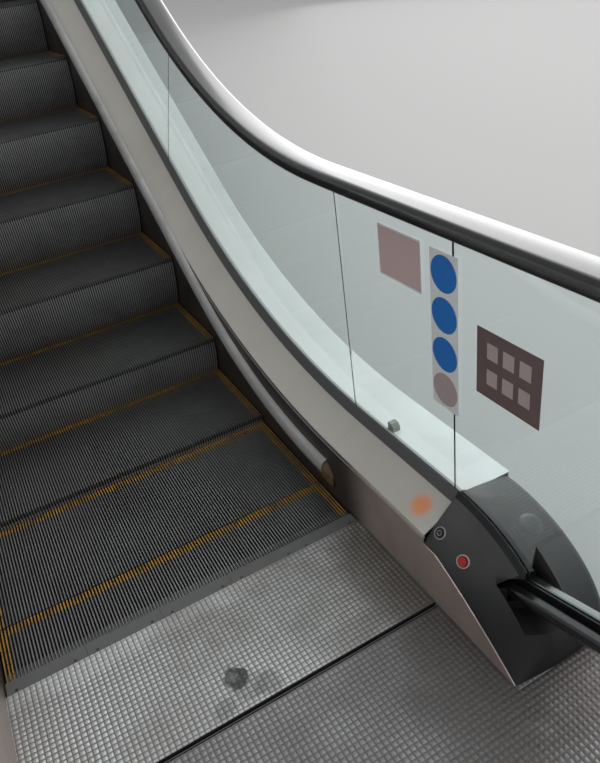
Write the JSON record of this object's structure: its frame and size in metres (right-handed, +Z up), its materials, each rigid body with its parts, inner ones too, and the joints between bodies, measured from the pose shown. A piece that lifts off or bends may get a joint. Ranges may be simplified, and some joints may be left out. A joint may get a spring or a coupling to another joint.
{
  "type": "escalator",
  "caption": "Glass-sided indoor escalator with cleated steps, combs, skirts, decks and looped black handrails, built from the lower floor up.",
  "frame": {"origin": "centre of the underside of the lower bearing angle, at the middle of the width", "axes": "+X to the rider's right when going up, +Y up the run from the lower landing to the upper one, +Z up"},
  "size_m": [1.55, 9.3875, 4.5199],
  "materials": {
    "step_alloy": "cast and machined cleats",
    "structure": "grey primer",
    "comb_alloy": "satin",
    "floor_alloy": "raised small squares",
    "cladding": "satin paint",
    "skirt_dark": "gloss black low-friction paint",
    "deflector_rail": "extruded rail with a rubber lip",
    "inner_deck": "satin beige-grey",
    "outer_deck": "satin white",
    "gasket": "matt black",
    "galvanised": "mill finish",
    "glass": "clear toughened glass, green edge",
    "handrail": "polished black",
    "moulding": "fine-grained charcoal",
    "inlet": "matt black",
    "ring": "pale",
    "button_red": "gloss red",
    "key_steel": "polished",
    "block": "grey moulding"
  },
  "bodies": {
    "machine": {"steps_1": "step_alloy", "steps_2": "step_alloy", "steps_3": "step_alloy", "steps_4": "step_alloy", "steps_5": "step_alloy", "tracks": "structure", "comb_lower": "comb_alloy", "comb_upper": "comb_alloy", "comb_carrier_lower": "floor_alloy", "comb_carrier_upper": "floor_alloy", "floor_covers_lower": "floor_alloy", "floor_covers_upper": "floor_alloy", "landing_frame_lower": "structure", "landing_frame_upper": "structure", "lower_bearing": "structure", "upper_bearing": "structure", "truss_left": "structure", "truss_right": "structure", "cross_beams": "structure", "side_panels_left": "cladding", "side_panels_right": "cladding", "soffit": "cladding", "end_plate": "cladding", "skirt_left": "skirt_dark", "skirt_right": "skirt_dark", "deflectors": "deflector_rail", "inner_deck_left": "inner_deck", "inner_deck_right": "inner_deck", "outer_deck_left": "outer_deck", "outer_deck_right": "outer_deck", "gaskets_left": "gasket", "gaskets_right": "gasket", "glass_clamps": "galvanised", "glass_left": "glass", "glass_right": "glass", "handrail_guides": "galvanised", "handrail_left": "handrail", "handrail_right": "handrail", "newel_base_lower_left": "moulding", "newel_base_lower_right": "moulding", "newel_bases_upper": "moulding", "inlets_lower": "inlet", "inlets_upper": "inlet", "control_rings": "ring", "deck_block": "block"},
    "stop_button": {"stop_button": "button_red"},
    "key_switch": {"key_switch": "key_steel"}
  },
  "joints": [
    {"name": "stop_press", "type": "slide", "parent": "machine", "child": "stop_button", "axis": [0.7371, 0.2723, -0.6185], "range_m": [0, 0.005]},
    {"name": "key_turn", "type": "hinge", "parent": "machine", "child": "key_switch", "pos_m": [0.536, 1.1145, 0.3665], "axis": [-0.7119, -0.0157, 0.7021], "range_deg": [-45, 45]}
  ]
}
